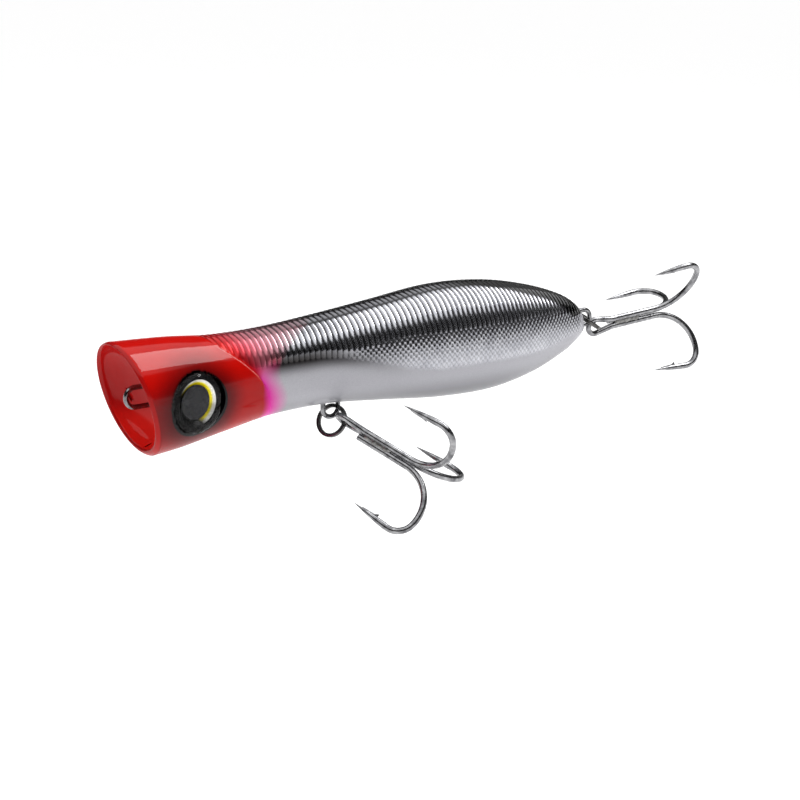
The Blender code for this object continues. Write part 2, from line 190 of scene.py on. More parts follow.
def ranged(tree, value, low, high, fromLow=0.3, fromHigh=0.7):
    return addNode(tree, "ShaderNodeMapRange", {
        "Value": value, "From Min": fromLow, "From Max": fromHigh, "To Min": low,
        "To Max": high}).outputs[0]


def bump(tree, height, distanceMm, strength):
    links = {"Height": height, "Distance": distanceMm * mm, "Strength": strength}
    return addNode(tree, "ShaderNodeBump", links).outputs[0]


def metalMaterial(name, light, dark, grainMm, roughLow, roughHigh, pitMm=0.01):
    # metal whose tone and gloss change a little over the grain, with faint pits
    material, tree, shader = newMaterial(name)
    patches = objectNoise(tree, grainMm)
    fine = objectNoise(tree, grainMm / 6, 4.0)
    tone = mixColour(tree, ranged(tree, patches, 0, 1), linear(dark), linear(light))
    fillSockets(tree, shader, {"Base Color": tone, "Roughness": ranged(tree, fine, roughLow, roughHigh),
                               "Normal": bump(tree, fine, pitMm, 0.35), "Metallic": 1.0})
    return material


# Stainless spring wire, drawn and bright: streaky grey with dark room reflections
stainlessWire = metalMaterial("drawnStainlessWire", "#9c9c9e", "#5a5a5c", 1.2, 0.14, 0.26)
# Black-nickel plated split rings: darker than the hooks and glossy
blackNickel = metalMaterial("blackNickelPlate", "#6a6968", "#2b2a2a", 0.9, 0.14, 0.28)
# Tinned carbon steel hooks, chemically sharpened: bright, a little soft in its gloss
tinnedSteel = metalMaterial("tinnedHookSteel", "#acacae", "#626265", 1.6, 0.16, 0.30)
# Silver braze between the shanks: flowed, dull and lumpy
silverBraze = metalMaterial("silverBraze", "#a3a2a0", "#555453", 0.7, 0.30, 0.50, 0.06)
# Polished bearing steel of the loose balls
bearingSteel = metalMaterial("bearingSteel", "#c9c9cc", "#adadb2", 2.5, 0.06, 0.12, 0.004)

lacquerColours = {
    # the near-black line colour paints shade into the rib grooves and, along the back, a line that is partly
    # painted reflection
    "foil": "#c4c4c9", "foilShade": "#a6a6ac", "line": "#030304", "pearl": "#b6b6bb", "pearlShade": "#abaab1",
    # the dark pearl grey is painted shade towards the bottom of the belly
    # the dark red is painted shade on the head's flank and also the head's random mottle
    "pearlUnderShade": "#77777b", "red": "#c80b03", "redShadeAndMottle": "#860507", "halo": "#240205", "fadePink": "#c81040",
    # the bright red of the mouth floor is painted light
    # the edge pink-white is a painted highlight along the gill plate's edge
    "magenta": "#e000a2", "mouth": "#b81616", "mouthFloorPaintedLight": "#ff2a22", "edge": "#e2837c",
    # the smoke grey is partly a painted back and partly a painted reflection of the room's dark gap
    "smokeAndDarkReflection": "#505054", "under": "#1b1512", "black": "#020203", "tint": "#b4bccd",
}


def makeFoilMaterial():
    # moulded ABS halves with hot-stamped foil, sprayed red head and clear lacquer over all:
    # mirror ribs with painted shade in their grooves, satin pearl belly and wet-looking red, with painted
    # shade, light and reflection laid in some places
    material, tree, shader = newMaterial("lacqueredFoil")
    c = {name: linear(value) for name, value in lacquerColours.items()}

    def mask(name):
        return addNode(tree, "ShaderNodeAttribute", attribute_name=name).outputs["Fac"]

    def coats(colour, *layers):  # lays coats over a colour, each a mask's name and a colour or its name
        for name, coat in layers:
            colour = mixColour(tree, mask(name), colour, c[coat] if isinstance(coat, str) else coat)
        return colour

    patches = objectNoise(tree, 3.5)
    grain = objectNoise(tree, 0.3, 3.0)
    flake = objectNoise(tree, 0.25, 2.0, 0.7)
    foil = mixColour(tree, ranged(tree, patches, 0, 1), c["foilShade"], c["foil"])
    foil = mixColour(tree, ranged(tree, flake, 0, 0.35, 0.45, 0.75), foil, c["tint"])
    pearl = mixColour(tree, ranged(tree, flake, 0, 1), c["pearlShade"], c["pearl"])
    # painted shade: the pearl darkens towards the bottom of the belly
    pearl = coats(pearl, ("bellyUnderShade", "pearlUnderShade"))
    pink = coats(c["fadePink"], ("magentaPaint", "magenta"))
    # painted shade: the red darkens on the head's flank and lip
    red = coats(c["red"], ("redSideShade", "redShadeAndMottle"))
    red = mixColour(tree, ranged(tree, patches, 0, 0.18), red, c["redShadeAndMottle"])
    red = coats(red, ("eyeHalo", "halo"))
    # painted highlight: a light line along the gill plate's edge
    # painted light: the lower part of the mouth cup is brightened
    # painted shade: the rib grooves are darkened towards near black
    # partly back paint, partly painted reflection: the smoky back band and the black back line and band
    colour = coats(pearl, ("relief", foil), ("smokyBackAndDarkReflection", "smokeAndDarkReflection"), ("backLineAndDarkReflection", "line"),
                   ("underShade", "under"), ("fadePaint", pink), ("redPaint", red), ("gillEdgeHighlight", "edge"),
                   ("mouthPaint", "mouth"), ("mouthFloorPaintedLight", "mouthFloorPaintedLight"), ("grooveShade", "line"),
                   ("eyeBlack", "black"))
    relief = mask("relief")
    sheer = addNode(tree, "ShaderNodeMapRange", {"Value": relief, "To Min": 1.0, "To Max": 0.15})
    opaque = addNode(tree, "ShaderNodeMath", {0: mask("redPaint"), 1: sheer.outputs[0]}, operation="MULTIPLY")
    veil = addNode(tree, "ShaderNodeMath", {0: mask("fadePaint"), 1: 0.6}, operation="MULTIPLY")
    thick = addNode(tree, "ShaderNodeMath", {0: opaque.outputs[0], 1: veil.outputs[0]}, operation="MAXIMUM")
    covered = addNode(tree, "ShaderNodeMath", {0: thick.outputs[0], 1: mask("eyeBlack")}, operation="MAXIMUM")
    metal = addNode(tree, "ShaderNodeMapRange", {"Value": relief, "To Min": 0.25, "To Max": 0.97})
    bare = addNode(tree, "ShaderNodeMath", {0: 1.0, 1: covered.outputs[0]}, operation="SUBTRACT")
    metallic = addNode(tree, "ShaderNodeMath", {
        0: metal.outputs[0], 1: bare.outputs[0]}, operation="MULTIPLY")
    rough = addNode(tree, "ShaderNodeMapRange", {"Value": relief, "To Min": 0.42, "To Max": 0.16})
    dust = ranged(tree, grain, -0.03, 0.05)
    rougher = addNode(tree, "ShaderNodeMath", {0: rough.outputs[0], 1: dust}, operation="ADD")
    fillSockets(tree, shader, {"Base Color": colour, "Metallic": metallic.outputs[0],
                               "Roughness": rougher.outputs[0], "Normal": bump(tree, grain, 0.012, 0.25),
                               "Coat Weight": 0.36, "Coat Roughness": 0.04, "Coat IOR": 1.5,
                               "Specular IOR Level": 0.02})
    return material


lacqueredFoil = makeFoilMaterial()


def newTree(name, sockets):  # sockets: name, kind and default of each input
    tree = bpy.data.node_groups.new(name, "GeometryNodeTree")
    tree.interface.new_socket("Geometry", in_out="INPUT", socket_type="NodeSocketGeometry")
    for label, kind, value in sockets:
        socket = tree.interface.new_socket(label, in_out="INPUT", socket_type="NodeSocket" + kind)
        if value is not None:
            socket.default_value = value
    tree.interface.new_socket("Geometry", in_out="OUTPUT", socket_type="NodeSocketGeometry")
    return tree, addNode(tree, "NodeGroupInput")


def endTree(tree, start, geometry):  # every tree ends in Realize Instances and Set Material
    real = addNode(tree, "GeometryNodeRealizeInstances", {0: geometry})
    painted = addNode(tree, "GeometryNodeSetMaterial", {
        "Geometry": real.outputs[0], "Material": start.outputs["Material"]})
    addNode(tree, "NodeGroupOutput", {0: painted.outputs[0]})


def grow(name, tree, values, base=None):  # runs a tree and keeps its result as a plain mesh piece
    mesh = base or bpy.data.meshes.new(name + "Base")
    source = addObject(name + "Base", mesh)
    modifier = source.modifiers.new(tree.name, "NODES")
    modifier.node_group = tree
    identifiers = {item.name: item.identifier for item in tree.interface.items_tree
                   if item.item_type == "SOCKET" and item.in_out == "INPUT"}
    for key, value in values.items():
        modifier[identifiers[key]] = value
    graph = bpy.context.evaluated_depsgraph_get()
    made = bpy.data.meshes.new_from_object(source.evaluated_get(graph), preserve_all_data_layers=True,
                                           depsgraph=graph)
    made.name = name
    bpy.data.objects.remove(source, do_unlink=True)
    return addObject(name, made)


def makeReliefTree():
    # ribs run round the body; lower on the flank two slanting families of grooves cut them into scales
    tree, start = newTree("foilRelief", (("Rib Depth", "Float", 0.2 * mm),
                                         ("Pitch At Nose", "Float", 1.34 * mm),
                                         ("Pitch Loss", "Float", 0.0006), ("Groove Shade Reach", "Float", 0.75),
                                         ("Material", "Material", None)))

    def maths(operation, *values):
        return addNode(tree, "ShaderNodeMath", dict(enumerate(values)), operation=operation).outputs[0]

    def named(name, kind="FLOAT"):
        return addNode(tree, "GeometryNodeInputNamedAttribute", {"Name": name}, data_type=kind).outputs[0]

    place = addNode(tree, "GeometryNodeInputPosition")
    along = addNode(tree, "ShaderNodeSeparateXYZ", {0: place.outputs[0]}).outputs["X"]
    loss = start.outputs["Pitch Loss"]
    share = maths("DIVIDE", maths("MULTIPLY", along, loss), start.outputs["Pitch At Nose"])
    rest = maths("MAXIMUM", maths("SUBTRACT", 1.0, share), 0.01)
    count = maths("DIVIDE", maths("LOGARITHM", rest, math.e), maths("MULTIPLY", loss, -1.0))
    turned = maths("MULTIPLY", count, math.pi)
    rib = maths("POWER", maths("ABSOLUTE", maths("SINE", turned)), 0.8)
    slant = named("slant")
    first = maths("ABSOLUTE", maths("SINE", maths("ADD", turned, slant)))
    second = maths("ABSOLUTE", maths("SINE", maths("SUBTRACT", turned, slant)))
    scale = maths("POWER", maths("MULTIPLY", first, second), 0.6)
    blend = addNode(tree, "ShaderNodeMix", {
        0: named("scaled"), 2: rib, 3: scale}, data_type="FLOAT").outputs[0]
    relief = named("relief")
    sunk = maths("MULTIPLY", maths("SUBTRACT", 1.0, blend), relief)
    inward = maths("MULTIPLY", maths("MULTIPLY", sunk, -1.0), start.outputs["Rib Depth"])
    offset = addNode(tree, "ShaderNodeVectorMath", {
        0: named("outward", "FLOAT_VECTOR"), "Scale": inward}, operation="SCALE").outputs[0]
    moved = addNode(tree, "GeometryNodeSetPosition", {
        "Geometry": start.outputs["Geometry"], "Offset": offset})
    crisp = addNode(tree, "ShaderNodeMapRange", {
        "Value": blend, "From Min": start.outputs["Groove Shade Reach"], "From Max": 0.1, "To Min": 0.0,
        "To Max": 1.0}, interpolation_type="SMOOTHSTEP").outputs[0]
    # painted shade: the bottoms of the grooves are darkened in colour, as shade falls in them
    shadeInGroove = maths("MULTIPLY", maths("MULTIPLY", crisp, named("grooveShadeAmount")), relief)
    kept = addNode(tree, "GeometryNodeStoreNamedAttribute", {
        "Geometry": moved.outputs[0], "Name": "grooveShade", "Value": shadeInGroove}, data_type="FLOAT", domain="POINT")
    endTree(tree, start, kept.outputs[0])
    return tree


def makeWireTree():
    # a round wire along a path of edges, as thick as each point says
    tree, start = newTree("sweptWire", (("Sides", "Int", 20), ("Material", "Material", None)))
    path = addNode(tree, "GeometryNodeMeshToCurve", {"Mesh": start.outputs["Geometry"]})
    thick = addNode(tree, "GeometryNodeInputNamedAttribute", {"Name": "wireRadius"}, data_type="FLOAT")
    sized = addNode(tree, "GeometryNodeSetCurveRadius", {
        "Curve": path.outputs[0], "Radius": thick.outputs[0]})
    ring = addNode(tree, "GeometryNodeCurvePrimitiveCircle", {
        "Resolution": start.outputs["Sides"], "Radius": 1.0}, mode="RADIUS")
    swept = addNode(tree, "GeometryNodeCurveToMesh", {
        "Curve": sized.outputs[0], "Profile Curve": ring.outputs[0], "Fill Caps": True})
    if "Scale" in swept.inputs:
        tree.links.new(thick.outputs[0], swept.inputs["Scale"])
    smooth = addNode(tree, "GeometryNodeSetShadeSmooth", {"Geometry": swept.outputs[0]})
    endTree(tree, start, smooth.outputs[0])
    return tree


def makeCoilTree():
    # a split ring: two flat turns of wire lying on each other
    tree, start = newTree("splitRingCoil", (("Radius", "Float", 3.3 * mm), ("Wire Width", "Float", 0.8 * mm),
                                            ("Wire Thickness", "Float", 0.52 * mm),
                                            ("Corner", "Float", 0.16 * mm), ("Turns", "Float", 2.0),
                                            ("Centre", "Vector", None), ("Turn", "Rotation", None),
                                            ("Material", "Material", None)))
    thickness = start.outputs["Wire Thickness"]
    coil = addNode(tree, "GeometryNodeCurveSpiral", {
        "Resolution": 72, "Rotations": start.outputs["Turns"], "Start Radius": start.outputs["Radius"],
        "End Radius": start.outputs["Radius"], "Height": thickness})
    level = addNode(tree, "GeometryNodeSetCurveNormal", {"Curve": coil.outputs[0]}, mode="Z_UP")
    section = addNode(tree, "GeometryNodeCurvePrimitiveQuadrilateral", {
        "Width": start.outputs["Wire Width"], "Height": thickness})
    rounded = addNode(tree, "GeometryNodeFilletCurve", {
        "Curve": section.outputs[0], "Radius": start.outputs["Corner"], "Count": 3}, mode="POLY")
    swept = addNode(tree, "GeometryNodeCurveToMesh", {
        "Curve": level.outputs[0], "Profile Curve": rounded.outputs[0], "Fill Caps": True})
    half = addNode(tree, "ShaderNodeMath", {0: thickness, 1: -0.5}, operation="MULTIPLY")
    down = addNode(tree, "ShaderNodeCombineXYZ", {"Z": half.outputs[0]})
    centred = addNode(tree, "GeometryNodeTransform", {
        "Geometry": swept.outputs[0], "Translation": down.outputs[0]})
    placed = addNode(tree, "GeometryNodeTransform", {
        "Geometry": centred.outputs[0], "Translation": start.outputs["Centre"],
        "Rotation": start.outputs["Turn"]})
    smooth = addNode(tree, "GeometryNodeSetShadeSmooth", {"Geometry": placed.outputs[0]})
    endTree(tree, start, smooth.outputs[0])
    return tree


reliefTree, wireTree, coilTree = makeReliefTree(), makeWireTree(), makeCoilTree()
print("node trees ready")

body = {
    # along the axis, top, bottom and half width, in mm
    "stations": ((-1.2, 11.9, -12.4, 11.3), (8, 11.45, -11.7, 10.4), (18, 10.6, -10.1, 9.2),
                 (30, 10.75, -8.25, 8.3), (44, 11.9, -7.8, 8.5), (58, 13.35, -8.95, 9.6),
                 (74, 15, -10.55, 10.9), (88, 14.4, -10.7, 10.8), (100, 12.1, -8.7, 8.9),
                 (110, 8.75, -5.3, 5.9), (115, 5.6, -2.7, 3.5), (116.8, 2.7, -1.6, 1.8)),
    "tilt": math.radians(15), "tiltFade": 16.0,
    "rim": (-1.5, 11.1, -10.8, 10.35), "crest": (-2.1, 11.5, -11.6, 10.85), "cupDepth": 6.5,
    "cupRings": 26, "lipRings": 12, "headRings": 44, "ribSamples": 10, "sides": 96, "innerSides": 8,
    "ribStart": 13.0, "pitchAtNose": 1.34, "pitchLoss": 0.0006, "ribDepth": 0.24, "scaleTall": 1.35,
    "seamGap": 0.02, "wall": 1.4, "bulkhead": 9.6, "innerEnd": 112.0, "headInnerHalf": 7.4,
    "headNarrow": (15, 22), "headSpare": 5.0, "cupShare": 0.8,
    "eye": (9.0, 8.2, -0.6), "eyeTurn": math.radians(10), "socketRadius": 6.3,
    "plateStep": 0.42, "hollowStep": 0.55,  # how far the skin sinks behind the gill plate and under the ribs
}


def bodySize(place):  # top, bottom and half width on smooth curves through the stations
    stations = body["stations"]
    last = len(stations) - 1
    index = 0
    while index < last - 1 and place > stations[index + 1][0]:
        index += 1
    near, far = stations[index], stations[index + 1]
    before, after = stations[max(index - 1, 0)], stations[min(index + 2, last)]
    span = far[0] - near[0]
    t = min(max((place - near[0]) / span, 0.0), 1.0)
    values = []
    for k in (1, 2, 3):
        leaving = (far[k] - before[k]) / (far[0] - before[0]) * span
        arriving = (after[k] - near[k]) / (after[0] - near[0]) * span
        value = (2 * t**3 - 3 * t**2 + 1) * near[k] + (t**3 - 2 * t**2 + t) * leaving
        values.append(value + (3 * t**2 - 2 * t**3) * far[k] + (t**3 - t**2) * arriving)
    return values


def ribCount(place):  # how many ribs lie between the origin and a place
    return -math.log(1 - body["pitchLoss"] * place / body["pitchAtNose"]) / body["pitchLoss"]


def ribPlace(count):
    return (1 - math.exp(-body["pitchLoss"] * count)) * body["pitchAtNose"] / body["pitchLoss"]


def outerRings():  # place, top, bottom, half width and lean of each ring, and what the ring belongs to
    rings = []
    lean = math.tan(body["tilt"])
    rimPlace, rimTop, rimBottom, rimHalf = body["rim"]
    for index in range(1, body["cupRings"] + 1):
        spread = math.sin(index / body["cupRings"] * math.pi / 2)
        sink = body["cupDepth"] * math.sqrt(max(1 - spread**2, 0.0))
        rings.append((rimPlace + sink, rimTop * spread, rimBottom * spread, rimHalf * spread, lean, "cup"))
    outer = body["stations"][0]
    pull = [2 * crest - (a + b) / 2 for crest, a, b in zip(body["crest"], body["rim"], outer)]
    for index in range(1, body["lipRings"]):
        t = index / body["lipRings"]
        bent = [(1 - t)**2 * a + 2 * t * (1 - t) * p + t**2 * b for a, p, b in zip(body["rim"], pull, outer)]
        rings.append((*bent, lean, "lip"))
    start, end = outer[0], body["stations"][-1][0]
    places = list(np.linspace(start, body["ribStart"], body["headRings"], endpoint=False))
    firstRib, lastRib = ribCount(body["ribStart"]), ribCount(end)
    steps = round((lastRib - firstRib) * body["ribSamples"])
    places += [ribPlace(firstRib + (lastRib - firstRib) * i / steps) for i in range(steps + 1)]
    for place in places:
        fade = min(max(1 - (place - start) / body["tiltFade"], 0.0), 1.0)
        rings.append((place, *bodySize(place), lean * fade**2, "skin"))
    return rings


def sheetPoints(rings, angles, side):  # a grid of points, one row for each ring
    place, top, bottom, half, lean = (np.array([ring[k] for ring in rings])[:, None] for k in range(5))
    height = (top + bottom) / 2 + (top - bottom) / 2 * np.sin(angles)[None, :]
    width = np.maximum(half * np.cos(angles)[None, :], body["seamGap"])
    return np.stack([place - lean * height, side * width, height], axis=2)


def innerRings(rings):  # the hollow's rings: a bulkhead behind the cup, the wall, and a cap at the tail
    cupShare = body["cupShare"]
    headCount = sum(1 for ring in rings if ring[5] != "cup" and ring[0] < body["bulkhead"])
    inner, seen = [], 0
    for place, top, bottom, half, _, kind in rings:
        at = min(max(place, body["bulkhead"]), body["innerEnd"])
        if kind == "cup" or place < body["bulkhead"]:
            if kind == "cup":
                spread = cupShare * half / body["rim"][3]
            else:
                seen += 1
                spread = cupShare + (1 - cupShare) * seen / headCount
            at = body["bulkhead"]
        elif place > body["innerEnd"]:
            reach = (place - body["innerEnd"]) / (body["stations"][-1][0] - body["innerEnd"])
            spread = max(1 - reach, 0.02)
        else:
            spread = 1.0
        top, bottom, half = bodySize(at)
        narrow = smoothStep(*body["headNarrow"], at)
        half = min(half - body["wall"], body["headInnerHalf"] + narrow * body["headSpare"])
        middle, tall = (top + bottom) / 2, (top - bottom) / 2 - body["wall"]
        inner.append((at, middle + tall * spread, middle - tall * spread, half * spread, 0.0))
    return inner


paint = {
    # where each coat begins and where it is full, in mm along, up or across
    "ribFront": (0.2, 1.4), "ribFoot": (-0.9, 0.8), "ribTail": (112.5, 115.5),
    "scaleRise": (40, 62), "scaleDrop": (98, 114), "scaleEdge": (-1.3, 1.3), "scaleFront": (36, 50),
    "lowSide": (1.0, 6.0), "redHold": (1.2, 4.5), "redMelt": (-3.0, 2.5),
    "backFront": (16, 30), "lineFront": (30, 40), "lineTail": (108, 113),
    "bandSide": (2.9, 3.5), "bandFront": (22, 32), "bandTail": (106, 113),
    "neckHeight": (8.7, 10.0), "neckFront": (19, 26), "neckTail": (36, 52),
    "blackWiden": (76, 98), "blackFront": (70, 84), "blackEdge": (-0.7, 0.3),
    "hollowFront": (24, 29), "hollowTop": (-0.4, 2.0), "hollowTail": (38, 64), "shadeTail": (36, 66),
    "edgeLow": (0.5, 3.5), "edgeHigh": (8.3, 9.4), "grooveShadeHeight": (-2.5, 5.0), "bellyHeight": (-9.0, -3.0),
    "redShadeTop": (-1.0, 7.0), "redShadeFoot": (-11.0, -5.5), "redShadeTail": (14, 21),
    "mouthFloorPaintedLight": (-8.5, -2.0), "plateFoot": (-9.0, -4.0), "plateTop": (6.0, 9.5),
    # reaches and widths in mm
    "fadeReach": 4.5, "fadeGrowth": 0.18, "meltReach": 2.2, "linePlace": 3.15, "lineWidth": 0.34,
    "blackHalf": 3.2, "blackExtra": 2.6, "hollowFade": 1.9, "shadeLift": 0.2, "shadeReach": 2.0,
    "edgePlace": -0.12, "edgeWidth": 0.16, "plateFade": 3.5, "bellyRise": (97, 0.2),
    "eyeShift": (0.25, -0.3), "eyeBlackRadius": 6.95, "haloRadius": 12.5,
    # strengths
    "band": 0.75, "neck": 0.6, "fade": 0.97, "bandVeil": 0.65, "edge": 0.8, "halo": 0.85, "under": 0.95,
    "lipMouth": 0.7, "lipRedShade": 0.8, "grooveShadeLow": 0.35, "grooveShadeLoss": 0.8, "redShadeLow": 0.6, "redShadeLoss": 0.55,
}


def gillEdge(z):  # where the gill plate ends, by height
    return 26.0 - 0.62 * z - 0.045 * z**2


def reliefFloor(x):  # the height down to which the foil is ribbed
    return 4.3 - 6.0 * smoothStep(38, 72, x) + 2.4 * smoothStep(97, 116, x)


def scaleCeiling(x):  # the height up to which the ribs are cut into scales
    return 4.0 + 2.4 * smoothStep(*paint["scaleRise"], x) - 2.0 * smoothStep(*paint["scaleDrop"], x)


def paintMasks(points, kinds):  # every mask from the point's own place, in mm
    p = paint

    def rise(name, value):
        return smoothStep(*p[name], value)

    def fall(name, value):
        return 1 - rise(name, value)

    x, y, z = points[..., 0], np.abs(points[..., 1]), points[..., 2]
    skin, cup, lip = ((kinds == kind)[:, None] * np.ones_like(x) for kind in ("skin", "cup", "lip"))
    behind = x - gillEdge(z)
    overFloor = z - reliefFloor(x)
    ribbed = rise("ribFront", behind) * rise("ribFoot", overFloor) * fall("ribTail", x)
    scaled = fall("scaleEdge", z - scaleCeiling(x)) * rise("scaleFront", x)

    fadeLength = p["fadeReach"] + p["fadeGrowth"] * np.maximum(z, 0)**2
    fade = 1 - np.clip(behind / fadeLength, 0, 1)
    low = fall("lowSide", z)
    hold = rise("redHold", z) * 0.5 * fadeLength  # the red runs further back on the upper flank
    soft = p["meltReach"] * fall("redMelt", z)  # below, the red melts into the pink ahead of the edge
    red = 1 - smoothStep(-0.1 - soft, hold + 0.35, behind)

    # partly back paint, partly painted reflection of the room's dark gap: smoky band, darker neck, black line
    # and band
    back = (z > 4) * rise("backFront", x)
    line = np.exp(-((y - p["linePlace"]) / p["lineWidth"])**2) * back
    line = line * rise("lineFront", x) * fall("lineTail", x)
    band = fall("bandSide", y) * back * p["band"] * rise("bandFront", x) * fall("bandTail", x)
    neck = p["neck"] * rise("neckHeight", z) * rise("neckFront", x) * fall("neckTail", x)
    band = np.maximum(band, neck)
    blackHalf = p["blackHalf"] + p["blackExtra"] * rise("blackWiden", x)
    black = fall("blackEdge", y - blackHalf) * back * rise("blackFront", x)

    under = np.clip(-overFloor, 0, None)
    hollow = np.exp(-(under / p["hollowFade"])**1.5) * fall("hollowTop", overFloor)
    hollow = hollow * rise("hollowFront", x) * fall("hollowTail", x)
    shade = np.exp(-(np.abs(overFloor - p["shadeLift"]) / p["shadeReach"])**2.4)
    shade = shade * rise("hollowFront", x) * fall("shadeTail", x)

    aside = np.hypot(x - body["eye"][0] - p["eyeShift"][0], z - body["eye"][2] - p["eyeShift"][1])
    halo = 1 - smoothStep(body["socketRadius"] - 1, p["haloRadius"], aside)
    eyeBlack = 1 - smoothStep(p["eyeBlackRadius"] - 0.15, p["eyeBlackRadius"] + 0.05, aside)
    # painted highlight: a light line along the gill plate's edge, above its lower part
    edge = np.exp(-((behind - p["edgePlace"]) / p["edgeWidth"])**2) * rise("edgeLow", z) * fall("edgeHigh", z)
    # painted shade: the belly darkens below a height that rises towards the tail
    risen = np.maximum(x - p["bellyRise"][0], 0) * p["bellyRise"][1]
    # painted shade: the red is darker below the head's top, a little lighter at the bottom, less towards the
    # tail
    sideShade = fall("redShadeTop", z) * (p["redShadeLow"] + (1 - p["redShadeLow"]) * rise("redShadeFoot", z))
    sideShade = sideShade * (1 - p["redShadeLoss"] * rise("redShadeTail", x))
    # painted shade in the rib grooves: full on the upper flank, weaker low down and in the red fade
    grooveShadeAmount = p["grooveShadeLow"] + (1 - p["grooveShadeLow"]) * rise("grooveShadeHeight", z)
    plate = np.where(behind > 0, np.exp(-np.clip(behind, 0, None) / p["plateFade"]), 0)
    return {
        "relief": ribbed * skin, "scaled": scaled * skin,
        "redPaint": np.maximum(red, cup + lip),
        "fadePaint": p["fade"] * fade**(0.6 + 0.4 * low) * (1 - p["bandVeil"] * band) * (behind > -4) * skin,
        "magentaPaint": low * skin,
        "gillEdgeHighlight": p["edge"] * edge * skin,
        "smokyBackAndDarkReflection": band * skin, "backLineAndDarkReflection": np.maximum(line, black) * skin,
        "underShade": p["under"] * shade * skin,
        "grooveShadeAmount": grooveShadeAmount * (1 - p["grooveShadeLoss"] * np.clip(fade, 0, 1)**0.7),
        "bellyUnderShade": fall("bellyHeight", z - risen) * skin,
        # painted light: the mouth cup's lower part is brightened, where it lies in shade
        "mouthPaint": cup + p["lipMouth"] * lip, "mouthFloorPaintedLight": cup * fall("mouthFloorPaintedLight", z),
        "eyeBlack": eyeBlack * skin, "eyeHalo": p["halo"] * halo * skin,
        "redSideShade": sideShade * skin + p["lipRedShade"] * lip,
        "hollow": hollow * skin,
        "plate": plate * skin * rise("plateFoot", z) * fall("plateTop", z),
        "slant": z * math.pi / body["scaleTall"],
    }


def eyeAxis(side):  # the floor of the eye's socket, and the way it faces
    ex, ey, ez = body["eye"]
    turn = body["eyeTurn"]
    return (ex, side * ey, ez), (math.sin(turn), side * math.cos(turn), 0.0)


def sinkSocket(points, side):  # presses the skin in to the floor of the round eye socket
    floor, outward = (np.array(v) for v in eyeAxis(side))
    radius = body["socketRadius"]
    lift = (points - floor) @ outward
    flat = points - floor - lift[..., None] * outward
    reach = np.linalg.norm(flat, axis=2)
    onSide = lift > -1.5
    inside = onSide & (reach < radius - 0.02)
    near = onSide & (reach >= radius - 0.02) & (reach < radius + 0.22)
    way = flat / np.maximum(reach, 1e-6)[..., None]
    wide = np.where(reach > radius - 0.3, radius - 0.02, reach)
    points = np.where(inside[..., None], floor + way * wide[..., None], points)
    return np.where(near[..., None], points + way * (radius - reach)[..., None], points)


def gridFaces(rows, columns, offset, flip):
    first = (np.arange(rows - 1)[:, None] * columns + np.arange(columns - 1)[None, :]).ravel() + offset
    quads = np.stack([first, first + 1, first + columns + 1, first + columns], axis=1)
    return (quads[:, ::-1] if flip else quads).tolist()


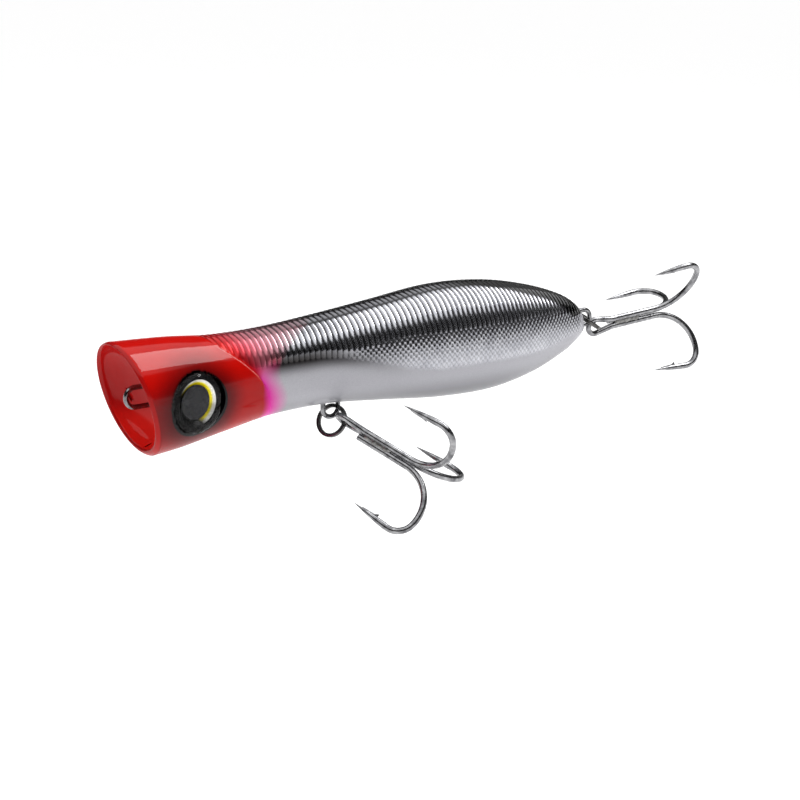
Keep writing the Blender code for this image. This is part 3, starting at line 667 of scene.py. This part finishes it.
def makeHalf(name, side):
    rings = outerRings()
    kinds = np.array([ring[5] for ring in rings])
    angles = np.linspace(-math.pi / 2, math.pi / 2, body["sides"] + 1)
    innerAngles = np.linspace(-math.pi / 2, math.pi / 2, body["innerSides"] + 1)
    outer = sheetPoints(rings, angles, side)
    alongWay = np.gradient(outer, axis=0)
    roundWay = np.gradient(outer, axis=1)
    outward = np.cross(roundWay, alongWay) * side
    outward /= np.maximum(np.linalg.norm(outward, axis=2), 1e-9)[..., None]
    masks = paintMasks(outer, kinds)
    pressed = body["plateStep"] * masks.pop("plate") + body["hollowStep"] * masks.pop("hollow")
    outer = sinkSocket(outer - outward * pressed[..., None], side)
    inner = sheetPoints(innerRings(rings), innerAngles, side)
    rows, columns, innerColumns = len(rings), len(angles), len(innerAngles)
    innerStart = rows * columns
    poles = innerStart + rows * innerColumns
    cupCentre = (body["rim"][0] + body["cupDepth"], side * body["seamGap"], 0)
    end = rings[-1]
    tailCentre = (end[0], side * body["seamGap"], (end[1] + end[2]) / 2)
    innerHead = (body["bulkhead"], side * body["seamGap"], 0)
    innerTail = (body["innerEnd"], side * body["seamGap"], float(np.mean(inner[-1, :, 2])))
    flip = side > 0
    faces = gridFaces(rows, columns, 0, not flip) + gridFaces(rows, innerColumns, innerStart, flip)

    def seam(a, b):  # a strip between an outer and an inner edge
        return [(a[i], a[i + 1], b[i + 1], b[i]) for i in range(len(a) - 1)]

    lowOuter = [poles] + [i * columns for i in range(rows)] + [poles + 1]
    highOuter = [poles] + [i * columns + columns - 1 for i in range(rows)] + [poles + 1]
    lowInner = [poles + 2] + [innerStart + i * innerColumns for i in range(rows)] + [poles + 3]
    highInner = [poles + 2] + [innerStart + (i + 1) * innerColumns - 1 for i in range(rows)] + [poles + 3]
    faces += seam(lowOuter, lowInner) + seam(highInner, highOuter)
    for start, count, first, last in ((0, columns, poles, poles + 1),
                                      (innerStart, innerColumns, poles + 2, poles + 3)):
        edge = start + (rows - 1) * count
        for i in range(count - 1):
            faces.append((first, start + i, start + i + 1))
            faces.append((last, edge + i + 1, edge + i))
    points = np.concatenate([outer.reshape(-1, 3), inner.reshape(-1, 3),
                             np.array([cupCentre, tailCentre, innerHead, innerTail])])
    mesh = bpy.data.meshes.new(name + "Base")
    mesh.from_pydata((points * mm).tolist(), [], faces)
    for label, values in masks.items():
        layer = mesh.attributes.new(label, "FLOAT", "POINT")
        full = np.zeros(len(points), np.float32)
        full[:innerStart] = values.reshape(-1)
        if label in ("mouthPaint", "redPaint"):
            full[poles] = 1.0
        layer.data.foreach_set("value", full)
    layer = mesh.attributes.new("outward", "FLOAT_VECTOR", "POINT")
    full = np.zeros((len(points), 3), np.float32)
    full[:innerStart] = outward.reshape(-1, 3)
    layer.data.foreach_set("vector", full.ravel())
    facesOut(mesh)
    mesh.shade_smooth()
    values = {"Rib Depth": body["ribDepth"] * mm, "Pitch At Nose": body["pitchAtNose"] * mm,
              "Pitch Loss": body["pitchLoss"], "Material": lacqueredFoil}
    piece = grow(name, reliefTree, values, mesh)
    piece.data.set_sharp_from_angle(angle=math.radians(62))
    return piece


def facesOut(mesh):  # turns every face outwards
    bm = bmesh.new()
    bm.from_mesh(mesh)
    bmesh.ops.recalc_face_normals(bm, faces=bm.faces)
    bm.to_mesh(mesh)
    bm.free()


def settle(piece, bodyName, slotName, *nodes):  # hands a finished piece to the frame
    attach(piece, bodyName)
    if nodes:
        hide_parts(*nodes)


for side, word in ((-1, "left"), (1, "right")):
    settle(makeHalf(word + "_foil_half", side), "body", "foil_body", word + "_body_shell")
print("body halves ready")

eyes = {"lift": 0.06, "foilThick": 0.2, "dishRadius": 3.75, "dishRim": 4.75, "dishRise": 0.85,
        "domeRadius": 6.18, "domeHeight": 3.0, "domeEdge": 1.25, "domeSteps": 18, "pupilRadius": 3.63,
        "sides": 72}


def turned(name, profile, side, material):  # a turned piece on the eye's axis, from radius and height pairs
    middle, outward = (Vector(v) for v in eyeAxis(side))
    centre = middle + outward * eyes["lift"]
    frameTurn = Vector((0, 0, 1)).rotation_difference(outward).to_matrix()
    sides = eyes["sides"]
    points, faces = [], []
    for radius, height in profile[1:-1]:
        for k in range(sides):
            angle = math.tau * k / sides
            spoke = Vector((radius * math.cos(angle), radius * math.sin(angle), height))
            points.append(centre + frameTurn @ spoke)
    rows = len(profile) - 2
    for row in range(rows - 1):
        low, high = row * sides, (row + 1) * sides
        for k in range(sides):
            after = (k + 1) % sides
            faces.append((low + k, low + after, high + after, high + k))
    points += [centre + outward * profile[0][1], centre + outward * profile[-1][1]]
    for k in range(sides):
        after = (k + 1) % sides
        faces.append((after, k, len(points) - 2))
        faces.append(((rows - 1) * sides + k, (rows - 1) * sides + after, len(points) - 1))
    mesh = bpy.data.meshes.new(name)
    mesh.from_pydata([tuple(p * mm) for p in points], [], faces)
    facesOut(mesh)
    mesh.materials.append(material)
    mesh.shade_smooth()
    mesh.set_sharp_from_angle(angle=math.radians(35))
    return addObject(name, mesh)


def radiusRamp(tree, side, stops):  # a colour by distance from the eye's axis
    coords = addNode(tree, "ShaderNodeTexCoord")
    centred = addNode(tree, "ShaderNodeMapping", {
        "Vector": coords.outputs["Object"], "Location": tuple(Vector(eyeAxis(side)[0]) * mm),
        "Rotation": (0, 0, -side * body["eyeTurn"])}, vector_type="TEXTURE")
    flat = addNode(tree, "ShaderNodeVectorMath", {0: centred.outputs[0], 1: (1, 0, 1)}, operation="MULTIPLY")
    reach = addNode(tree, "ShaderNodeVectorMath", {0: flat.outputs[0]}, operation="LENGTH").outputs["Value"]
    outer = eyes["domeRadius"] * mm
    share = addNode(tree, "ShaderNodeMath", {0: reach, 1: outer}, operation="DIVIDE").outputs[0]
    ramp = addNode(tree, "ShaderNodeValToRGB", {0: share})
    fillRamp(ramp, [(radius / eyes["domeRadius"], linear(colour)) for radius, colour in stops])
    return ramp.outputs[0]


def irisMaterial(word, side):
    # printed foil under the eye: yellow ink by the pupil, bare silver outside it, black round the rim; one
    # side darkened by painted shade
    material, tree, shader = newMaterial(word + "PrintedIrisFoilAndShade")
    rings = radiusRamp(tree, side, ((0.0, "#050506"), (3.5, "#0a0a08"), (3.72, "#f6dc00"), (4.1, "#f8e81c"),
                                    (4.4, "#f4f4f0"), (4.72, "#f2f2f2"), (4.82, "#08080a"), (6.1, "#050506")))
    speck = objectNoise(tree, 0.25, 3.0)
    colour = mixColour(tree, ranged(tree, speck, 0.0, 0.2), rings, linear("#c9c6a8"), "MULTIPLY")
    # painted shade: the iris darkens to near black towards its front and lower side
    coords = addNode(tree, "ShaderNodeTexCoord")
    centred = addNode(tree, "ShaderNodeVectorMath", {
        0: coords.outputs["Object"], 1: tuple(Vector(eyeAxis(side)[0]) * mm)}, operation="SUBTRACT")
    glance = addNode(tree, "ShaderNodeVectorMath", {
        0: centred.outputs[0], 1: (0.8, 0, 0.6)}, operation="DOT_PRODUCT")
    shadedSide = addNode(tree, "ShaderNodeMapRange", {
        "Value": glance.outputs["Value"], "From Min": -1.6 * mm, "From Max": 1.4 * mm, "To Min": 1.0,
        "To Max": 0.0})
    colour = mixColour(tree, shadedSide.outputs[0], colour, linear("#0a0a0a"))
    fillSockets(tree, shader, {"Base Color": colour, "Roughness": ranged(tree, speck, 0.18, 0.32),
                               "Normal": bump(tree, speck, 0.01, 0.3), "Metallic": 0.45,
                               "Specular IOR Level": 0.1})
    return material


def pupilMaterial():
    # black enamel dot, glossy, faintly mottled
    material, tree, shader = newMaterial("pupilEnamel")
    mottle = objectNoise(tree, 0.8)
    colour = mixColour(tree, ranged(tree, mottle, 0, 1), linear("#0b0c0f"), linear("#15161a"))
    fillSockets(tree, shader, {"Base Color": colour, "Roughness": ranged(tree, mottle, 0.08, 0.2),
                               "Specular IOR Level": 0.2})
    return material


def domeMaterial():
    # cast clear resin: only its shine is seen, faint face on and strong towards its edge
    material, tree, shader = newMaterial("clearResinDome")
    haze = objectNoise(tree, 2.0)
    fillSockets(tree, shader, {"Roughness": ranged(tree, haze, 0.01, 0.05),
                               "Base Color": linear("#ffffff"), "Metallic": 1.0})
    shine = addNode(tree, "ShaderNodeFresnel", {"IOR": 1.45})
    clear = addNode(tree, "ShaderNodeBsdfTransparent")
    face = addNode(tree, "ShaderNodeNewGeometry")
    outside = addNode(tree, "ShaderNodeMath", {0: 1.0, 1: face.outputs["Backfacing"]}, operation="SUBTRACT")
    front = addNode(tree, "ShaderNodeMath", {
        0: shine.outputs[0], 1: outside.outputs[0]}, operation="MULTIPLY")
    amount = addNode(tree, "ShaderNodeMath", {0: front.outputs[0], 1: 0.22}, operation="MULTIPLY")
    both = addNode(tree, "ShaderNodeMixShader", {
        0: amount.outputs[0], 1: clear.outputs[0], 2: shader.outputs[0]})
    tree.links.new(both.outputs[0], tree.nodes["Material Output"].inputs["Surface"])
    return material


pupilEnamel, clearResin = pupilMaterial(), domeMaterial()


def makeEye(word, side):
    e = eyes
    rim = e["foilThick"] + e["dishRise"]
    foil = ((0, 0), (e["dishRadius"], 0), (e["dishRim"], e["dishRise"]), (e["domeRadius"], e["dishRise"]),
            (e["domeRadius"], rim), (e["dishRim"], rim), (e["dishRadius"], e["foilThick"]),
            (0, e["foilThick"]))
    iris = turned(word + "_iris", foil, side, irisMaterial(word, side))
    settle(iris, "body", "eye_foil", word + "_eye_foil")
    low = e["foilThick"] + 0.06
    radius = e["pupilRadius"]
    pupil = ((0, low), (radius - 0.03, low), (radius, low + 0.05), (radius, low + 0.16),
             (radius - 0.06, low + 0.22), (0, low + 0.22))
    settle(turned(word + "_pupil", pupil, side, pupilEnamel), "body", "eye_pupil", word + "_eye_pupil")
    under = low + 0.28
    profile = [(0, under), (e["dishRadius"], under), (e["dishRim"], rim + 0.06),
               (e["domeRadius"] - 0.03, rim + 0.06), (e["domeRadius"], rim + 0.1)]
    steps = e["domeSteps"]
    for index in range(steps + 1):
        angle = index / steps * math.pi / 2
        height = e["domeEdge"] + (e["domeHeight"] - e["domeEdge"]) * math.sin(angle)
        profile.append((e["domeRadius"] * math.cos(angle) if index < steps else 0, height))
    settle(turned(word + "_dome", profile, side, clearResin), "body", "eye_dome", word + "_eye_dome")


makeEye("left", -1)
makeEye("right", 1)
print("eyes ready")

wires = {
    "radius": 0.55, "steps": 40,
    # loop centre, loop radius, length, way along the link, way across it
    "line_tie_wire": ((0, 0, 0), 2.05, 8.0, (-1, 0, 0), (0, 0, 1)),
    "belly_hanger_wire": ((46.94, 0, -9.29), 1.95, 4.9, (0, 0, -1), (-1, 0, 0)),
    "tail_hanger_wire": ((118.14, 0, 2.04), 1.75, 9.5, (1, 0, 0), (0, 0, 1)),
}


def pathMesh(name, path, radii, closed=False):
    count = len(path)
    edges = [(i, (i + 1) % count) for i in range(count if closed else count - 1)]
    mesh = bpy.data.meshes.new(name)
    mesh.from_pydata([tuple(Vector(p) * mm) for p in path], edges, [])
    layer = mesh.attributes.new("wireRadius", "FLOAT", "POINT")
    layer.data.foreach_set("value", [r * mm for r in radii])
    return mesh


def makeWire(name):
    centre, radius, length, along, across = wires[name]
    centre, along, across = Vector(centre), Vector(along), Vector(across)
    path = []
    for start, middle in ((-0.5, centre), (0.5, centre - along * length)):
        for k in range(wires["steps"] + 1):
            angle = math.pi * (k / wires["steps"] + start)
            path.append(middle + radius * (math.cos(angle) * along + math.sin(angle) * across))
    piece = grow(name + "_link", wireTree, {"Sides": 24, "Material": stainlessWire},
                 pathMesh(name + "Path", path, [wires["radius"]] * len(path), True))
    settle(piece, "body", "stainless_wire", name)


for name in ("line_tie_wire", "belly_hanger_wire", "tail_hanger_wire"):
    makeWire(name)

rings = {
    "radius": 3.3, "width": 0.84, "thickness": 0.58, "turns": 1.97,
    "belly": ((46.45, -1.19, -11.79), (-0.845, -0.336, 0.415)),
    "tail": ((120.40, 1.34, 0.88), (0.493, -0.241, 0.836)),
}


def makeRing(word):
    centre, normal = rings[word]
    turn = Vector((0, 0, 1)).rotation_difference(Vector(normal).normalized())
    values = {"Radius": rings["radius"] * mm, "Wire Width": rings["width"] * mm,
              "Wire Thickness": rings["thickness"] * mm, "Turns": rings["turns"],
              "Centre": tuple(Vector(centre) * mm), "Turn": tuple(turn.to_euler()), "Material": blackNickel}
    piece = grow(word + "_ring_coil", coilTree, values)
    piece.data.set_sharp_from_angle(angle=math.radians(50))
    settle(piece, word + "_ring", "nickel_ring", word + "_split_ring")


makeRing("belly")
makeRing("tail")

hooks = {
    "wire": 0.72, "offset": 1.01, "eyeRadius": 1.78, "eyeCentre": 4.48, "eyeWire": 0.65, "neck": 9.2,
    "shankEnd": 21.85, "bend": (8.71, 1.74), "throat": (4.05, 1.49), "point": 8.87,
    "solder": (9.9, 17.5), "barbAt": (0.36, 0.62),
    "pathStep": 0.32, "easing": 3, "brazeRadius": 1.18,
    "belly": {"start": (45.71, -0.34, -9.92), "turns": (-62.24, -23.58, -130.94),
              "double": (1, 2), "single": 0},
    "tail": {"start": (117.60, 1.51, -1.22), "turns": (-6.85, 5.92, 125.35),
             "double": (0, 2), "single": 1},
}


def trebleWays(hook):  # the shank's direction and the three ways in which the hooks bend out
    yaw, pitch, roll = (math.radians(t) for t in hook["turns"])
    along = Vector((math.cos(pitch) * math.cos(yaw), math.cos(pitch) * math.sin(yaw), math.sin(pitch)))
    level = Vector((0, 0, 1)).cross(along).normalized()
    upright = along.cross(level)
    angles = [roll - k * math.tau / 3 for k in range(3)]
    return along, [math.cos(a) * level + math.sin(a) * upright for a in angles]


def hookOutline():  # along the shank, out from the axis, wire radius
    h = hooks
    outline = [(h["neck"] + (h["shankEnd"] - h["neck"]) * k / 24, h["offset"], h["wire"]) for k in range(25)]
    along, out, heading = h["shankEnd"], h["offset"], 0.0
    for (radius, angle), steps in ((h["bend"], 36), (h["throat"], 24)):
        for _ in range(steps):
            chord = 2 * radius * math.sin(angle / steps / 2)
            middle = heading + angle / steps / 2
            along += chord * math.cos(middle)
            out += chord * math.sin(middle)
            heading += angle / steps
            outline.append((along, out, h["wire"]))
    ahead = (math.cos(heading), math.sin(heading))
    for k in range(1, 31):
        share = k / 30
        radius = h["wire"] * (1 - share**1.7) + 0.03
        outline.append((along + share * h["point"] * ahead[0], out + share * h["point"] * ahead[1], radius))
    return outline, (along, out), ahead


def eyeLoop(halfNeck):  # the eye between two shanks, along the shank and to the side
    h = hooks
    reach = math.hypot(h["neck"] - h["eyeCentre"], halfNeck)
    start = math.atan2(halfNeck, h["neck"] - h["eyeCentre"]) + math.acos(h["eyeRadius"] / reach)
    steps = 48
    angles = [start + (math.tau - 2 * start) * k / steps for k in range(steps + 1)]
    return [(h["eyeCentre"] + h["eyeRadius"] * math.cos(a), h["eyeRadius"] * math.sin(a)) for a in angles]


def evenPath(path, radii, step, passes):  # evenly spaced points, with the corners eased
    path = np.array([tuple(p) for p in path])
    gone = np.concatenate([[0], np.cumsum(np.linalg.norm(np.diff(path, axis=0), axis=1))])
    at = np.linspace(0, gone[-1], int(gone[-1] / step) + 1)
    path = np.stack([np.interp(at, gone, path[:, k]) for k in range(3)], axis=1)
    radii = np.interp(at, gone, radii)
    for _ in range(passes):
        path[1:-1] = (path[:-2] + 2 * path[1:-1] + path[2:]) / 4
    return path, radii


def barb(start, along, way, side):  # a cut sliver that stands up behind the point, on the shank's side
    _, (throatAlong, throatOut), ahead = hookOutline()
    inward = Vector((ahead[1], -ahead[0]))  # towards the shank, in the hook's plane
    if inward[1] > 0:
        inward = -inward
    base, tip = hooks["barbAt"]
    points = []
    # share of the way to the point, height over the wire, half width
    cuts = (base - 0.03, 0.95, 0.03), (base + 0.06, 0.40, 0.26), (tip, 0.22, 0.22), (tip + 0.16, 0.06, 0.10)
    for share, lift, half in cuts:
        u = throatAlong + share * hooks["point"] * ahead[0]
        v = throatOut + share * hooks["point"] * ahead[1]
        for rise in (lift + 0.36, 0.05):
            place = start + along * (u + inward[0] * rise) + way * (v + inward[1] * rise)
            points += [place - side * half, place + side * half]
    return points


def makeBarbMesh(points):
    faces = []
    for k in range(3):
        a, b = 4 * k, 4 * k + 4
        faces += [(a, a + 1, b + 1, b), (a + 2, b + 2, b + 3, a + 3)]
        faces += [(a, b, b + 2, a + 2), (a + 1, a + 3, b + 3, b + 1)]
    faces += [(0, 2, 3, 1), (12, 13, 15, 14)]
    mesh = bpy.data.meshes.new("barb")
    mesh.from_pydata([tuple(p * mm) for p in points], [], faces)
    facesOut(mesh)
    return mesh


def joinMeshes(piece, extras):
    bm = bmesh.new()
    bm.from_mesh(piece.data)
    for mesh in extras:
        bm.from_mesh(mesh)
    for face in bm.faces:
        face.smooth = True
        face.material_index = 0
    bm.to_mesh(piece.data)
    bm.free()
    piece.data.set_sharp_from_angle(angle=math.radians(48))


def makeTreble(word):
    hook = hooks[word]
    along, ways = trebleWays(hook)
    start = Vector(hook["start"])
    first, second = (ways[k] for k in hook["double"])
    single = ways[hook["single"]]
    sideways = (first - second).normalized()
    middle = (first + second).normalized() * hooks["offset"] / 2
    outline, _, _ = hookOutline()

    def wireHook(kind, path, radii, bends):  # one bent wire with a barb on each of its bends
        path, radii = evenPath(path, radii, hooks["pathStep"], hooks["easing"])
        piece = grow(f"{word}_{kind}_wire", wireTree, {"Sides": 20, "Material": tinnedSteel},
                     pathMesh(f"{word}_{kind}_path", path, radii))
        joinMeshes(piece, [makeBarbMesh(barb(start, along, way, along.cross(way))) for way in bends])
        settle(piece, word + "_hook", "tinned_hook", f"{word}_{kind}_hook")

    def shank(way):
        return [start + along * u + way * v for u, v, _ in outline]

    thick = [r for _, _, r in outline]
    loop = eyeLoop(hooks["offset"] * math.sin(math.pi / 3))
    path = shank(first)[::-1] + [start + along * u + sideways * v + middle for u, v in loop] + shank(second)
    wireHook("double", path, thick[::-1] + [hooks["eyeWire"]] * len(loop) + thick, (first, second))
    wireHook("single", shank(single), thick, (single,))
    low, high = hooks["solder"]
    path, radii = [], []
    for k in range(25):
        share = k / 24
        path.append(start + along * (low + (high - low) * share))
        swell = math.sqrt(max(1 - (2 * share - 1)**8, 0))
        lumps = 1 + 0.05 * math.sin(share * 17) + 0.04 * math.sin(share * 31 + 1)
        radii.append(hooks["brazeRadius"] * swell * lumps + 0.02)
    braze = grow(word + "_braze", wireTree, {"Sides": 24, "Material": silverBraze},
                 pathMesh(word + "BrazePath", path, radii))
    settle(braze, word + "_hook", "solder", word + "_hook_solder")


makeTreble("belly")
makeTreble("tail")
print("wires, rings and hooks ready")

for name in ("casting_ball_1", "casting_ball_2", "rattle_ball"):
    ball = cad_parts[name]
    ball.data.materials.clear()
    ball.data.materials.append(bearingSteel)
